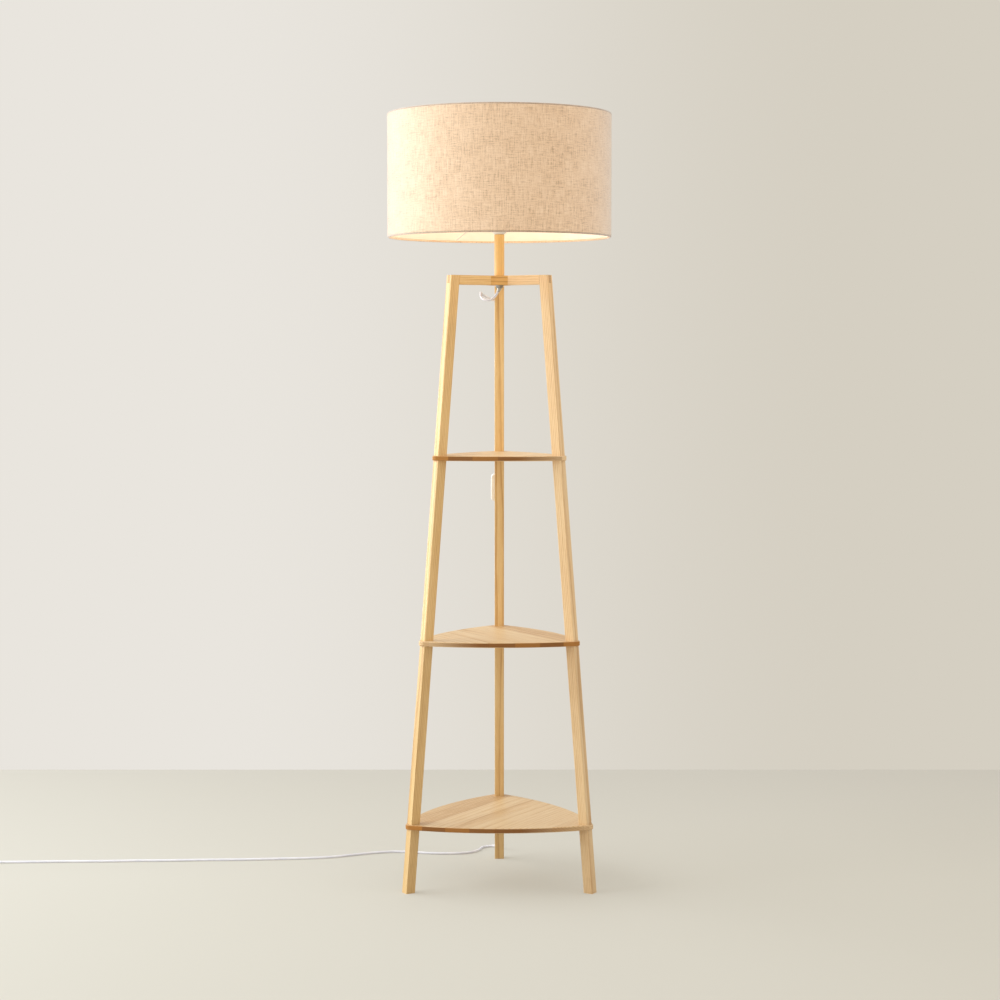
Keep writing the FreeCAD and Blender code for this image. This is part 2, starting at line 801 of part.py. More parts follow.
def bulb_base():
    """The bulb's metal cap with its insulated tip."""
    skirt = bulb_bottom + bulb_base_height
    return revolved([(0.0, bulb_bottom), (3.5, bulb_bottom), (5.0, bulb_bottom + 1.5),
                     (11.0, bulb_bottom + 4.0), (bulb_base_radius - 0.6, bulb_bottom + 6.0),
                     (bulb_base_radius, bulb_bottom + 8.0),
                     (bulb_base_radius, skirt), (bulb_base_radius - glass_wall, skirt),
                     (bulb_base_radius - glass_wall, bulb_bottom + 8.0), (0.0, bulb_bottom + 5.0)])


def bulb_glass():
    """The bulb's envelope: a neck that swells in one curve into a round top, open below."""
    neck = bulb_base_radius
    low = bulb_bottom + bulb_base_height
    top = bulb_bottom + bulb_height
    centre = top - bulb_radius
    shells = []
    for inset in (0.0, glass_wall):
        radius = bulb_radius - inset
        angle = math.radians(-38.0)
        side = Vector(radius * math.cos(angle), 0, centre + radius * math.sin(angle))
        bottom = Vector(neck - inset, 0, low)
        bend = Vector((neck - inset) * 0.55 + side.x * 0.45 - 2.0, 0, (low + side.z) / 2)
        crown = Vector(0, 0, top - inset)
        wide = Vector(radius, 0, centre)
        edges = [Part.Arc(bottom, bend, side).toShape(), Part.Arc(side, wide, crown).toShape(),
                 Part.LineSegment(crown, Vector(0, 0, low)).toShape(),
                 Part.LineSegment(Vector(0, 0, low), bottom).toShape()]
        face = Part.Face(Part.Wire(edges))
        shells.append(face.revolve(Vector(0, 0, 0), Vector(0, 0, 1), 360))
    return shells[0].cut(shells[1])


# ---- shade --------------------------------------------------------------------------------------
def hem(level):
    """The cloth rolled round a ring wire at the shade's edge."""
    centre = shade_radius - hem_radius
    outer = Part.makeTorus(centre, hem_radius, Vector(0, 0, level))
    return outer.cut(ring_wire(level))


def ring_wire(level):
    """One of the shade's two steel rings."""
    return Part.makeTorus(shade_radius - hem_radius, wire_radius, Vector(0, 0, level))


def shade_wall(inner, outer):
    """A round wall between the two hems."""
    low = shade_bottom + hem_radius
    high = shade_top - hem_radius
    wall = ring(inner, outer, low, high)
    centre = shade_radius - hem_radius
    for level in (low, high):
        wall = wall.cut(Part.makeTorus(centre, hem_radius, Vector(0, 0, level)))
    return wall


def fitter_ring():
    """The plate that sits on the lampholder's flange."""
    inner = holder_shell_radius + fitter_clearance
    return ring(inner, fitter_radius, flange_top, flange_top + fitter_plate)


def fitter_spoke():
    """A wire from the fitter's plate down to the shade's lower ring, in the plane of +X."""
    level = flange_top + fitter_plate + wire_radius - spoke_weld
    foot = shade_bottom + 2.0 * hem_radius + wire_radius
    straight = 14.0
    route = [(spoke_start, 0.0, level), (fitter_radius + straight, 0.0, level),
             (shade_radius - hem_radius - straight, 0.0, foot + 2.0),
             (shade_radius - 1.5 * hem_radius, 0.0, foot)]
    return tube_along(route_edges(route, []), wire_radius)[0]


def retaining_ring():
    """The knurled ring that clamps the fitter's plate on the lampholder."""
    inner = holder_shell_radius + thread_clearance
    bottom = flange_top + fitter_plate
    return ring(inner, ring_radius, bottom, bottom + ring_height)


# ---- all pieces, one node each ------------------------------------------------------------------
def pieces():
    """Every node's name with its solid or group of solids."""
    made = {}
    clips = [clip_parts(level) for level in clip_runs]
    nails = [nail for saddle, nail in clips]
    for side, angle in leg_angles.items():
        for name, bottom, top in segment_levels():
            segment = turned(leg_segment(bottom, top), angle)
            if side == "rear":
                segment = cut_all(segment, nails)
            made["leg_%s_%s" % (side, name)] = segment
        made["arm_" + side] = turned(arm(), angle)
    made["hub"] = hub()
    made["hub_dowels"] = [turned(dowel(), angle) for angle in leg_angles.values()]
    for name, top in shelf_tops.items():
        made["shelf_" + name] = shelf(top)
    made["shelf_studs"] = [turned(stud_at(level, stud_radius, stud_length), angle)
                           for level in shelf_middles() for angle in leg_angles.values()]
    made["leg_inserts"] = [turned(insert, angle)
                           for insert in inserts() for angle in leg_angles.values()]

    made["pole"] = pole()
    made["threaded_tube"] = threaded_tube()
    made["hub_washer"] = hub_washer()
    made["hub_nut"] = hub_nut()
    made["strain_relief"] = strain_relief()
    made["inner_lead"] = inner_lead()
    made["cord_upper"] = cord(upper_route, "cord_upper")
    made["cord_lower"] = cord(lower_route, "cord_lower")
    made["cord_coil"] = coil()
    body, front = plug_body()
    pins = plug_pins(front)
    made["plug_body"] = cut_all(body, pins)
    made["plug_pins"] = pins
    made["switch_inner_half"], made["switch_outer_half"] = map(on_switch, switch_halves())
    made["switch_rocker"] = on_switch(rocker())
    made["cord_clips"] = [saddle for saddle, nail in clips]
    made["clip_nails"] = nails

    made["holder_cap"] = holder_cap()
    made["holder_shell"] = holder_shell()
    made["holder_core"] = holder_core()
    made["screw_shell"] = screw_shell()
    made["centre_contact"] = centre_contact()
    made["bulb_base"] = bulb_base()
    made["bulb_glass"] = bulb_glass()

    low = shade_bottom + hem_radius
    high = shade_top - hem_radius
    inner = shade_radius - cover_wall
    made["shade_cover"] = shade_wall(inner, shade_radius)
    made["shade_liner"] = shade_wall(inner - liner_wall, inner)
    for name, level in (("bottom", low), ("top", high)):
        made["shade_wire_" + name] = ring_wire(level)
        made["shade_hem_" + name] = hem(level)
    spokes = [turned(fitter_spoke(), angle) for angle in spoke_angles]
    made["fitter_ring"] = cut_all(fitter_ring(), spokes)
    made["fitter_spokes"] = spokes
    made["retaining_ring"] = retaining_ring()
    return made


os.makedirs("parts", exist_ok=True)
for node, shape in pieces().items():
    if isinstance(shape, list):
        shape = Part.makeCompound(shape)
    shape.exportStep("parts/%s.step" % node)
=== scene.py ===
import math

import bpy
import numpy as np
from mathutils import Matrix, Vector


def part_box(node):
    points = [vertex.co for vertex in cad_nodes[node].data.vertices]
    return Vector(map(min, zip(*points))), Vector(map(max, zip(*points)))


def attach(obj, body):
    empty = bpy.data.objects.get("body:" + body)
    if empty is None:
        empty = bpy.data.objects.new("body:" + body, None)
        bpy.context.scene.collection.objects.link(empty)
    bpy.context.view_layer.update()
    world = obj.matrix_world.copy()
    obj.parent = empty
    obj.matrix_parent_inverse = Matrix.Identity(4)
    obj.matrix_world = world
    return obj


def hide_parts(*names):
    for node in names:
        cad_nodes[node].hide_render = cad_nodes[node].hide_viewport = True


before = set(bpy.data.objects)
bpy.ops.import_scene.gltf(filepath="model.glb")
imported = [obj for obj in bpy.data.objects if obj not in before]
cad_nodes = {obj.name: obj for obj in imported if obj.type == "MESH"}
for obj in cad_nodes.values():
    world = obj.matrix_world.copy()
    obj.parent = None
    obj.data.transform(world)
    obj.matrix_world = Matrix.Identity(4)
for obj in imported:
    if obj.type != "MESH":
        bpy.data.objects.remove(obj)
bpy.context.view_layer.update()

# ---- sizes shared with the solids, in metres ----------------------------------------------------
LEG_ANGLES = {"rear": 90.0, "left": 210.0, "right": 330.0}
LEG_SEGMENTS = ("foot", "lower", "upper", "top")
FOOT_RADIUS = 0.210
HEAD_RADIUS = 0.1055
FRAME_HEIGHT = 1.233
SHADE_RADIUS = 0.225
COVER_WALL = 0.0008
LINING_RADIUS = 0.2237               # inside of the lining
HEM_RADIUS = 0.0023
SHADE_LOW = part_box("shade_hem_bottom")[0].z
SHADE_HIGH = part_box("shade_hem_top")[1].z
SEAM_ANGLE = math.radians(168.0)     # where the cloth and the lining overlap
CORD_RADIUS = 0.0025
FLOOR_EDGE = 1.24                    # how far behind the lamp the floor meets the wall

# ---- camera -------------------------------------------------------------------------------------
CAMERA_PLACE = (0.0, -4.593, 1.078)
LOOKS_DOWN = math.radians(3.701)
view = bpy.data.cameras.new("photograph_view")
view.sensor_width = 36.0
view.lens = 81.785
view.shift_x = 0.00066
camera = bpy.data.objects.new("photograph_view", view)
camera.location = CAMERA_PLACE
camera.rotation_euler = (math.pi / 2 - LOOKS_DOWN, 0.0, 0.0)
bpy.context.scene.collection.objects.link(camera)
bpy.context.scene.camera = camera
bpy.context.scene.view_settings.view_transform = "Standard"


# ---- colours and finishes -----------------------------------------------------------------------
def colour(red, green, blue):
    """A colour from its 0 to 255 values, as the linear light that a shader takes."""
    shares = np.array([red, green, blue]) / 255.0
    linear = np.where(shares <= 0.04045, shares / 12.92, ((shares + 0.055) / 1.055) ** 2.4)
    return (*linear.tolist(), 1.0)


WAVE_IN_A_METRE = math.tau / 20.0     # the wave texture's scale for one wave to the metre
SOCKETS = {"roughness": "Roughness", "metallic": "Metallic", "specular": "Specular IOR Level",
           "glow_strength": "Emission Strength", "sheen": "Sheen Weight"}


class Nodes:
    """Short words for the nodes of one material or of the surroundings."""

    def __init__(self, tree):
        self.tree = tree

    def node(self, kind, **settings):
        """A new node with its settings."""
        made = self.tree.nodes.new(kind)
        for key, value in settings.items():
            setattr(made, key, value)
        return made

    def feed(self, socket, source):
        """Give a socket a link or a plain value."""
        if isinstance(source, bpy.types.NodeSocket):
            self.tree.links.new(source, socket)
        elif source is not None:
            socket.default_value = source

    def axes(self, vector):
        """The X, Y and Z of a place."""
        made = self.node("ShaderNodeSeparateXYZ")
        self.feed(made.inputs["Vector"], vector)
        return made.outputs

    def shift(self, vector, turn=(0, 0, 0), move=(0, 0, 0), scale=(1, 1, 1)):
        """Scale, then turn, then move a place."""
        made = self.node("ShaderNodeMapping")
        self.feed(made.inputs["Vector"], vector)
        made.inputs["Rotation"].default_value = turn
        made.inputs["Location"].default_value = move
        made.inputs["Scale"].default_value = scale
        return made.outputs["Vector"]

    def noise(self, vector, scale, detail=2.0, rough=0.5, output="Fac"):
        """Smooth random variation; scale is in spots for each metre."""
        made = self.node("ShaderNodeTexNoise")
        self.feed(made.inputs["Vector"], vector)
        made.inputs["Scale"].default_value = scale
        made.inputs["Detail"].default_value = detail
        made.inputs["Roughness"].default_value = rough
        return made.outputs[output]

    def rings(self, vector, width, wander, detail_scale):
        """Growth rings round the Z axis, each a slow rise and a quick fall."""
        made = self.node("ShaderNodeTexWave", wave_type="RINGS", rings_direction="Z",
                         wave_profile="SAW")
        self.feed(made.inputs["Vector"], vector)
        made.inputs["Scale"].default_value = WAVE_IN_A_METRE / width
        made.inputs["Distortion"].default_value = wander
        made.inputs["Detail"].default_value = 2.0
        made.inputs["Detail Scale"].default_value = detail_scale
        return made.outputs["Fac"]

    def bands(self, vector, direction, width):
        """Even bands of one width along a direction."""
        made = self.node("ShaderNodeTexWave", wave_type="BANDS", bands_direction=direction)
        self.feed(made.inputs["Vector"], vector)
        made.inputs["Scale"].default_value = WAVE_IN_A_METRE / width
        return made.outputs["Fac"]

    def sum(self, operation, first, second=None, third=None):
        """One step of arithmetic."""
        made = self.node("ShaderNodeMath", operation=operation)
        for socket, source in zip(made.inputs, (first, second, third)):
            self.feed(socket, source)
        return made.outputs[0]

    def vector(self, operation, first, second):
        """One step of arithmetic on places."""
        made = self.node("ShaderNodeVectorMath", operation=operation)
        self.feed(made.inputs[0], first)
        self.feed(made.inputs[1], second)
        return made.outputs["Value" if operation == "DOT_PRODUCT" else "Vector"]

    def ramp(self, value, *stops):
        """Colours or shades at places along a value."""
        made = self.node("ShaderNodeValToRGB")
        self.feed(made.inputs["Fac"], value)
        elements = made.color_ramp.elements
        while len(elements) < len(stops):
            elements.new(0.5)
        for element, (place, shade) in zip(elements, stops):
            element.position = place
            element.color = shade if isinstance(shade, tuple) else (shade, shade, shade, 1.0)
        return made.outputs["Color"]

    def spread(self, value, low, high, new_low, new_high, **settings):
        """A value taken from one range to another, and kept inside it."""
        made = self.node("ShaderNodeMapRange", **settings)
        for socket, source in zip(made.inputs, (value, low, high, new_low, new_high)):
            self.feed(socket, source)
        return made.outputs["Result"]

    def blend(self, share, first, second):
        """Two colours mixed by a share."""
        made = self.node("ShaderNodeMix", data_type="RGBA")
        self.feed(made.inputs["Factor"], share)
        self.feed(made.inputs[6], first)
        self.feed(made.inputs[7], second)
        return made.outputs[2]

    def glow(self, kind, tint, strength=1.0):
        """Plain light of one colour, from a surface or from the surroundings."""
        made = self.node(kind)
        self.feed(made.inputs["Color"], tint)
        made.inputs["Strength"].default_value = strength
        return made.outputs[0]

    def either(self, share, first, second):
        """Two shaders mixed by a share."""
        made = self.node("ShaderNodeMixShader")
        for socket, source in zip(made.inputs, (share, first, second)):
            self.feed(socket, source)
        return made.outputs[0]

    def seen_directly(self):
        """1 for what the camera sees, also in gloss and in glass, and 0 for soft light."""
        rays = self.node("ShaderNodeLightPath").outputs
        seen = self.sum("MAXIMUM", rays["Is Camera Ray"], rays["Is Glossy Ray"])
        return self.sum("MAXIMUM", seen, rays["Is Transmission Ray"])


class Finish(Nodes):
    """One material on its way, with its shader and the places that its patterns read."""

    def __init__(self, name, **sockets):
        self.material = bpy.data.materials.new(name)
        self.material.use_nodes = True
        super().__init__(self.material.node_tree)
        self.shader = self.tree.nodes["Principled BSDF"]
        for socket, value in sockets.items():
            self.shader.inputs[SOCKETS[socket]].default_value = value
        spots = self.node("ShaderNodeTexCoord").outputs
        self.place = spots["Object"]
        self.cloth = spots["UV"]

    def relief(self, height, strength, depth):
        """Fine relief on the surface."""
        made = self.node("ShaderNodeBump")
        made.inputs["Strength"].default_value = strength
        made.inputs["Distance"].default_value = depth
        self.feed(made.inputs["Height"], height)
        self.feed(self.shader.inputs["Normal"], made.outputs["Normal"])

    def set(self, socket, source):
        """Feed one of the shader's own sockets."""
        self.feed(self.shader.inputs[socket], source)


def turn_to_grain(along, side):
    """The turn that takes a piece of wood's length to +Z, and its side as near as it can to +Y."""
    length = Vector(along).normalized()
    across = Vector(side).cross(length).normalized()
    face = length.cross(across)
    return Matrix((across, face, length)).to_euler("XYZ")


PALE_OAK = colour(242, 210, 154)
MID_OAK = colour(230, 190, 126)
DEEP_OAK = colour(196, 146, 84)
END_OAK = colour(98, 50, 14)
STRIP_END = colour(180, 121, 58)        # palest end grain of a glued board


def toned(tints, share):
    """The same wood, lighter or darker."""
    return tuple((*(channel * share for channel in tint[:3]), 1.0) for tint in tints)


def oak(name, along, start, side=(0.0, 0.0, 1.0), tints=(PALE_OAK, MID_OAK, DEEP_OAK),
        ring_width=0.0034, strip_width=None, end_share=0.9):
    """Oiled pale wood: growth rings, fibres, pores and slow drift along the grain, darker on end
    grain; with a strip width, edge-glued strips that each come from a different board. The start
    is the place in the log where the piece is cut."""
    made = Finish(name, roughness=0.36, specular=0.5)
    place = made.shift(made.place, turn=turn_to_grain(along, side))
    tone = None
    if strip_width:
        strips = made.sum("DIVIDE", made.axes(place)["X"], strip_width)
        strips = made.sum("ADD", strips, start[0] * 100.0)
        number = made.sum("FLOOR", strips)
        chance = made.node("ShaderNodeTexWhiteNoise", noise_dimensions="1D")
        made.feed(chance.inputs["W"], number)
        jump = made.shift(chance.outputs["Color"], scale=(0.05, 0.03, 2.0))
        place = made.vector("ADD", place, jump)
        tone = chance.outputs["Value"]
        edge = made.sum("ABSOLUTE", made.sum("SUBTRACT", made.sum("FRACT", strips), 0.5))
        joint = made.spread(edge, 0.496, 0.499, 0.0, 1.0)
    place = made.shift(place, move=start)
    rings = made.rings(made.shift(place, scale=(1, 1, 0.07)), ring_width, 9.0, 0.22)
    rings = made.ramp(rings, (0.0, 0.15), (0.55, 0.4), (0.9, 0.95), (1.0, 0.1))
    fibres = made.noise(made.shift(place, scale=(1, 1, 0.03)), 620.0, 4.0, 0.6)
    drift = made.noise(made.shift(place, scale=(1, 1, 0.2)), 22.0, 2.0, 0.5)
    pores = made.noise(made.shift(place, scale=(1, 1, 0.045)), 1500.0, 2.0, 0.5)
    pores = made.spread(pores, 0.56, 0.7, 0.0, 1.0)
    grain = made.sum("MULTIPLY_ADD", fibres, 0.8, made.sum("MULTIPLY", rings, 0.55))
    grain = made.sum("MULTIPLY_ADD", drift, 0.5, grain)
    if tone is not None:
        grain = made.sum("MULTIPLY_ADD", tone, 0.36, made.sum("SUBTRACT", grain, 0.18))
    pale, mid, deep = tints
    tint = made.ramp(made.spread(grain, 0.5, 1.3, 0.0, 1.0), (0.0, pale), (0.5, mid), (1.0, deep))
    tint = made.blend(made.sum("MULTIPLY", pores, 0.3), tint, deep)
    facing = made.vector("DOT_PRODUCT", made.node("ShaderNodeNewGeometry").outputs["Normal"],
                         tuple(Vector(along).normalized()))
    ends = made.spread(made.sum("ABSOLUTE", facing), 0.6, 0.82, 0.0, end_share)
    if tone is None:
        end_tint = made.blend(made.sum("MULTIPLY", fibres, 0.6), END_OAK, deep)
    else:
        end_tone = made.sum("MULTIPLY_ADD", tone, 0.75, made.sum("MULTIPLY", fibres, 0.25))
        end_tint = made.blend(end_tone, END_OAK, STRIP_END)
    tint = made.blend(ends, tint, end_tint)
    if tone is not None:
        tint = made.blend(made.sum("MULTIPLY", joint, 0.45), tint, END_OAK)
    made.set("Specular IOR Level", made.sum("MULTIPLY_ADD", ends, -0.5, 0.5))
    made.set("Base Color", tint)
    made.set("Roughness", made.spread(fibres, 0.3, 0.7, 0.36, 0.5))
    made.relief(made.sum("SUBTRACT", fibres, made.sum("MULTIPLY", pores, 0.6)), 0.35, 0.0002)
    return made.material


YARN_WAVER = 0.0016                  # how far the yarns wander
WARP_PITCH = 0.0011
WEFT_PITCH = 0.001


def linen(name, dark, mid, pale, glow, glow_strength, inside_glow=False):
    """Natural cloth with thick and thin yarns both ways, read from the piece's own map in metres.
    The lamp's light comes through it, or with inside_glow falls on the rolled edge's inner half."""
    made = Finish(name, roughness=0.7, specular=0.5, sheen=1.0, glow_strength=glow_strength)
    waver = made.noise(made.cloth, 60.0, 2.0, 0.5, "Color")
    waver = made.shift(waver, move=(-YARN_WAVER / 2, -YARN_WAVER / 2, 0),
                       scale=(YARN_WAVER, YARN_WAVER, 0))
    flat = made.vector("ADD", made.cloth, waver)
    weft = made.noise(made.shift(flat, scale=(0.09, 1, 1)), 540.0, 3.0, 0.7)
    warp = made.noise(made.shift(flat, scale=(1, 0.07, 1), move=(3.1, 1.7, 0)), 520.0, 3.0, 0.7)
    speck = made.noise(made.shift(flat, move=(7.0, 2.0, 0)), 430.0, 3.0, 0.7)
    slub = made.noise(made.shift(flat, scale=(0.2, 1, 1), move=(1.3, 5.1, 0)), 300.0, 2.0, 0.5)
    cloud = made.noise(made.shift(flat, scale=(0.6, 1, 1), move=(0.4, 9.0, 0)), 22.0, 3.0, 0.6)
    yarn = made.sum("MULTIPLY_ADD", warp, 0.42, made.sum("MULTIPLY", weft, 0.36))
    yarn = made.sum("MULTIPLY_ADD", speck, 0.22, yarn)
    yarn = made.sum("MULTIPLY_ADD", made.sum("SUBTRACT", cloud, 0.5), 0.12, yarn)
    dark_slub = made.spread(slub, 0.62, 0.78, 0.0, 0.5)
    tint = made.ramp(made.spread(yarn, 0.355, 0.6, 0.0, 1.0), (0.0, dark), (0.5, mid), (1.0, pale))
    tint = made.blend(dark_slub, tint, dark)
    made.set("Base Color", tint)
    if inside_glow:
        half_round = math.pi * HEM_RADIUS
        away = made.sum("ABSOLUTE", made.sum("SUBTRACT", made.axes(made.cloth)["Y"], half_round))
        share = made.spread(away, 0.35 * half_round, 0.6 * half_round, 1.0, 0.0)
        unlit = colour(0, 0, 0)
    else:
        share = made.spread(yarn, 0.36, 0.62, 0.25, 1.0)
        unlit = colour(70, 45, 25)
    made.set("Emission Color", made.blend(share, unlit, glow))
    weave = made.sum("ADD", made.bands(flat, "X", WARP_PITCH), made.bands(flat, "Y", WEFT_PITCH))
    made.relief(made.sum("MULTIPLY_ADD", yarn, 2.0, weave), 0.5, 0.00025)
    return made.material


def lining(name):
    """Smooth cream lining, warm where the bulb lights it."""
    made = Finish(name, roughness=0.6, specular=0.3, glow_strength=0.24)
    mottle = made.noise(made.place, 30.0, 3.0, 0.5)
    grain = made.noise(made.shift(made.place, scale=(1, 1, 0.15)), 900.0, 2.0, 0.5)
    made.set("Base Color", made.ramp(mottle, (0.3, colour(238, 230, 216)),
                                     (0.7, colour(244, 238, 226))))
    made.set("Emission Color", made.ramp(mottle, (0.3, colour(255, 210, 162)),
                                         (0.7, colour(255, 218, 176))))
    made.relief(grain, 0.2, 0.0001)
    return made.material


def plastic(name, tint, shade, roughness):
    """Moulded plastic with a fine satin grain."""
    made = Finish(name, roughness=roughness, specular=0.5)
    grain = made.noise(made.place, 1800.0, 2.0, 0.5)
    cloud = made.noise(made.place, 45.0, 2.0, 0.5)
    made.set("Base Color", made.blend(made.spread(cloud, 0.35, 0.65, 0.0, 1.0), tint, shade))
    made.set("Roughness", made.spread(grain, 0.3, 0.7, roughness - 0.06, roughness + 0.08))
    made.relief(grain, 0.2, 0.00005)
    return made.material


def metal(name, tint, shade, roughness):
    """Plated or rolled metal with faint cloudiness and fine scratches."""
    made = Finish(name, roughness=roughness, metallic=1.0)
    cloud = made.noise(made.place, 160.0, 3.0, 0.6)
    scratch = made.noise(made.shift(made.place, scale=(1, 1, 0.05)), 2500.0, 2.0, 0.5)
    made.set("Base Color", made.blend(cloud, tint, shade))
    made.set("Roughness", made.spread(scratch, 0.3, 0.7, roughness - 0.08, roughness + 0.12))
    made.relief(scratch, 0.15, 0.00005)
    return made.material


def lacquer(name, tint, shade):
    """Powder-coated steel wire in the glow of the shade's inside."""
    made = Finish(name, roughness=0.4, specular=0.5, glow_strength=0.22)
    made.set("Emission Color", colour(255, 226, 190))
    peel = made.noise(made.place, 700.0, 2.0, 0.5)
    made.set("Base Color", made.blend(peel, tint, shade))
    made.relief(peel, 0.25, 0.00008)
    return made.material


def lit_glass(name):
    """Opal glass with the lit lamp inside, a little darker towards its neck."""
    made = Finish(name, roughness=0.25, specular=0.5, glow_strength=12.0)
    low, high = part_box("bulb_glass")
    neck = low.z + 0.6 * (high.z - low.z)
    rise = made.spread(made.axes(made.place)["Z"], low.z, neck, 0.0, 1.0)
    swirl = made.noise(made.place, 60.0, 2.0, 0.5)
    made.set("Base Color", made.blend(swirl, colour(250, 248, 240), colour(244, 240, 228)))
    made.set("Emission Color", made.blend(rise, colour(240, 196, 150), colour(255, 224, 194)))
    return made.material


# ---- making pieces ------------------------------------------------------------------------------
def dress(names, material):
    """Give CAD nodes their finish."""
    for name in names:
        mesh = cad_nodes[name].data
        mesh.materials.clear()
        mesh.materials.append(material)


def surface(name, grid, material, body, closed=(True, True), sizes=None):
    """A mesh from a grid of places: rows join to the next row and columns to the next column, and
    the last to the first where closed. With sizes (metres round, metres along) it gets a map."""
    rows, columns = grid.shape[:2]
    row = np.arange(rows if closed[0] else rows - 1)
    column = np.arange(columns if closed[1] else columns - 1)
    row, column = (side.ravel() for side in np.meshgrid(row, column, indexing="ij"))
    next_row = row + 1
    next_column = column + 1
    corners = [(row, column), (next_row, column), (next_row, next_column), (row, next_column)]
    faces = np.stack([(a % rows) * columns + (b % columns) for a, b in corners], axis=1)
    mesh = bpy.data.meshes.new(name)
    mesh.from_pydata(grid.reshape(-1, 3).tolist(), [], faces.tolist())
    mesh.polygons.foreach_set("use_smooth", np.ones(len(faces), bool))
    if sizes is not None:
        places = np.stack([np.stack([a * sizes[0] / rows, b * sizes[1] / columns], axis=1)
                           for a, b in corners], axis=1)
        mesh.uv_layers.new(name="cloth").data.foreach_set("uv", places.ravel())
    mesh.materials.append(material)
    mesh.update()
    piece = bpy.data.objects.new(name, mesh)
    bpy.context.scene.collection.objects.link(piece)
    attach(piece, body)
    return piece


def turned(radius, height, angle):
    """Places round the lamp's axis: radius and height may change with the angle (rows)."""
    angle = np.asarray(angle)[:, None]
    radius = np.broadcast_to(radius, (angle.shape[0], np.shape(radius)[-1]))
    height = np.broadcast_to(height, radius.shape)
    return np.stack([radius * np.cos(angle), radius * np.sin(angle), height], axis=2)


def smooth_random(shape, blur, seed):
    """A seeded field of smooth random heights about 0, repeating at its edges: white noise whose
    fine waves are damped by a bell curve of the given widths."""
    field = np.random.default_rng(seed).standard_normal(shape)
    waves = np.fft.fft2(field)
    for axis, width in enumerate(blur):
        rate = np.fft.fftfreq(shape[axis]) * width
        damp = np.exp(-2.0 * (math.pi * rate) ** 2)
        waves *= damp[:, None] if axis == 0 else damp[None, :]
    field = np.real(np.fft.ifft2(waves))
    return field / np.abs(field).max()


# ---- the cord -----------------------------------------------------------------------------------
# Control points in metres: from the strain relief round a loop and down the rear leg to the switch,
# then on down past the shelves, over the floor, and into the coil beside the plug.
REST = 0.00255
UPPER_ROUTE = [
    (-0.0032, -0.0004, 1.2011), (-0.0077, -0.0010, 1.1920), (-0.0172, -0.0036, 1.1848),
    (-0.0289, -0.0009, 1.1840), (-0.0378, 0.0067, 1.1905), (-0.0366, 0.0226, 1.2004),
    (-0.0383, 0.0464, 1.1988), (-0.0229, 0.0632, 1.1898), (-0.0225, 0.0855, 1.1897),
    (-0.0170, 0.1069, 1.1879), (-0.0105, 0.1265, 1.1887), (-0.0010, 0.1410, 1.1860),
    (0.0045, 0.1495, 1.1730), (0.0045, 0.1500, 1.1520), (0.0015, 0.1445, 1.1220),
    (-0.0015, 0.1385, 1.0850), (-0.0015, 0.1342, 1.0460), (-0.0026, 0.1390, 0.9900),
    (-0.0026, 0.1475, 0.9300), (-0.0028, 0.1586, 0.8890), (-0.0044, 0.1573, 0.8500),
    (-0.0050, 0.1590, 0.8304),
]
LOWER_ROUTE = [
    (-0.0050, 0.1646, 0.7646), (-0.0044, 0.1687, 0.7160), (-0.0020, 0.1702, 0.6720),
    (-0.0015, 0.1696, 0.6300), (-0.0025, 0.1745, 0.5760), (-0.0022, 0.1903, 0.5210),
    (-0.0024, 0.1906, 0.4800), (-0.0032, 0.1882, 0.4280), (-0.0024, 0.1918, 0.3720),
    (-0.0020, 0.1965, 0.3180), (-0.0034, 0.2024, 0.2580), (-0.0028, 0.2105, 0.2020),
    (-0.0030, 0.2216, 0.1550), (-0.0030, 0.2226, 0.1130), (-0.0015, 0.2350, 0.0760),
    (0.0010, 0.2540, 0.0460), (0.0050, 0.2730, 0.0250), (0.0060, 0.2910, 0.0120),
    (0.0000, 0.3080, 0.0050), (-0.0175, 0.3163, REST), (-0.0350, 0.3080, REST),
    (-0.0410, 0.2890, REST), (-0.0480, 0.2660, REST), (-0.0680, 0.2470, REST),
    (-0.1000, 0.2410, REST), (-0.1400, 0.2425, REST), (-0.1780, 0.2510, REST),
    (-0.2160, 0.2610, REST), (-0.2600, 0.2540, REST), (-0.3060, 0.2320, REST),
    (-0.3580, 0.2050, REST), (-0.4200, 0.1935, REST), (-0.4880, 0.1880, REST),
    (-0.5560, 0.1810, REST), (-0.6280, 0.1795, REST), (-0.7000, 0.1730, REST),
    (-0.7720, 0.1720, REST), (-0.8450, 0.1655, REST), (-0.9170, 0.1650, REST),
    (-0.9850, 0.1605, REST), (-1.0480, 0.1580, REST), (-1.0900, 0.1580, REST),
]
COIL_CENTRE = (-1.112, 0.125)
COIL_OUTER = 0.033
COIL_PITCH = 0.0056
COIL_TURNS_IN = 2.0
COIL_TURNS_OUT = 1.75
COIL_POINTS = 16                     # for each turn


def coil_points():
    """The coil's points: a flat spiral inwards, half a turn up by one layer, and a spiral out."""
    last = COIL_TURNS_IN + 0.5 + COIL_TURNS_OUT
    turn = np.arange(0.0, last + 1e-6, 1.0 / COIL_POINTS)
    rise = np.clip((turn - COIL_TURNS_IN) / 0.5, 0.0, 1.0)
    inward = np.minimum(turn, COIL_TURNS_IN) + 0.5 * rise - 0.5 * rise ** 2
    outward = np.maximum(turn - COIL_TURNS_IN - 0.5, 0.0)
    radius = (COIL_OUTER - COIL_PITCH * (inward - outward)) / math.cos(math.pi / COIL_POINTS / 2)
    height = REST + COIL_PITCH * (1.0 - np.cos(math.pi * rise)) / 2.0
    angle = math.pi / 2 + math.tau * turn
    return np.stack([COIL_CENTRE[0] + radius * np.cos(angle),
                     COIL_CENTRE[1] + radius * np.sin(angle), height], axis=1).tolist()


